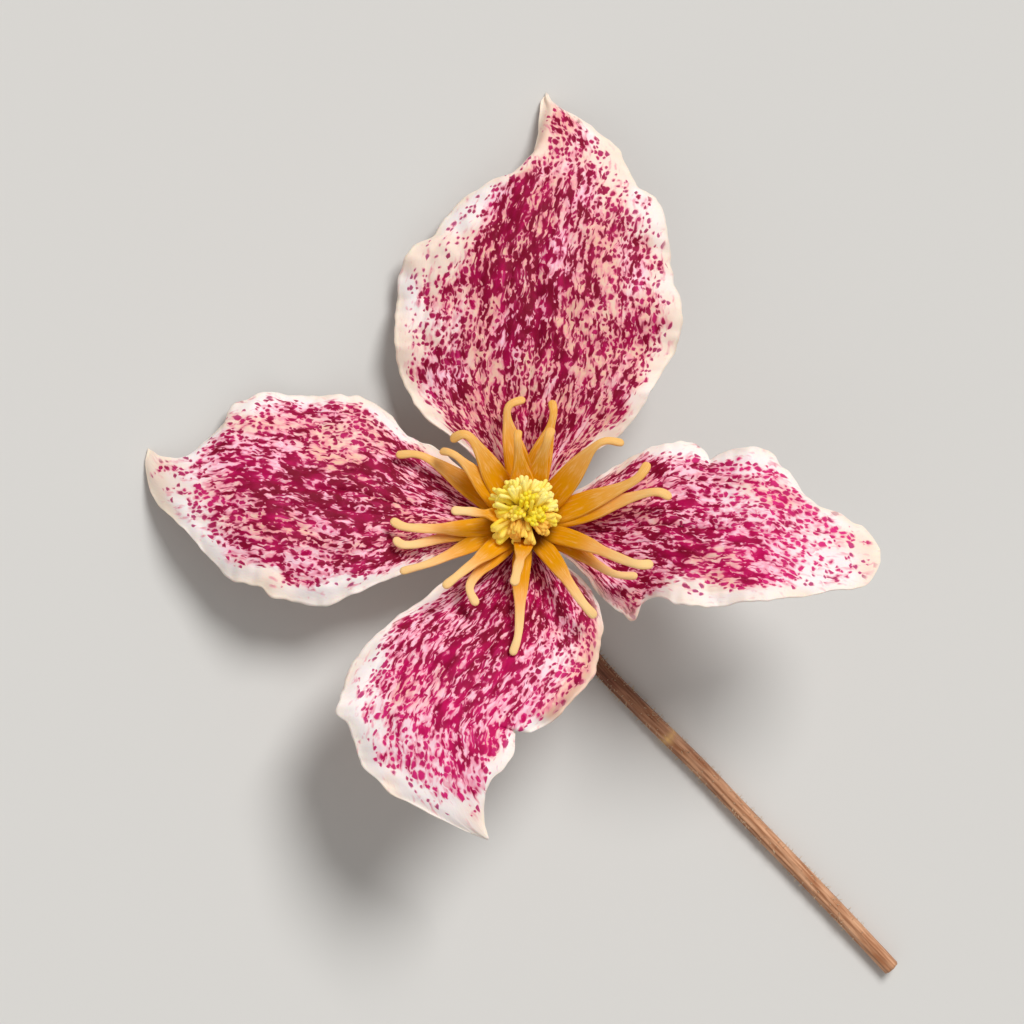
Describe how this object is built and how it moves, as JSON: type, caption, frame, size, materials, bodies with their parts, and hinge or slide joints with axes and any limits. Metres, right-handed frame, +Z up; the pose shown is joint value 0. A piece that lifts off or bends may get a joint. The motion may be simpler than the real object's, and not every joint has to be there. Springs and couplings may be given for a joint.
{
  "type": "clematis flower",
  "caption": "Picked clematis flower lying face up, with broad freckled tepals, a ring of long flat stamens, a tuft of styles and a thin cut stalk.",
  "frame": {"origin": "centre of the part's footprint, on the surface that it lies on", "axes": "+Z up, away from the surface; +Y from the heart towards the upper tepal; +X towards the right tepal"},
  "size_m": [0.0766, 0.0848, 0.0232],
  "materials": {
    "tepal": "soft satin petal, pinkish cream with magenta freckles",
    "stamen": "smooth golden orange filaments",
    "pistil": "pale yellow, slightly waxy",
    "stalk": "reddish brown, ribbed, with fine hairs"
  },
  "bodies": {
    "root": {"tepal_top": "tepal", "tepal_left": "tepal", "tepal_right": "tepal", "tepal_low": "tepal", "stamens": "stamen", "pistil": "pistil", "stalk": "stalk"}
  },
  "joints": []
}
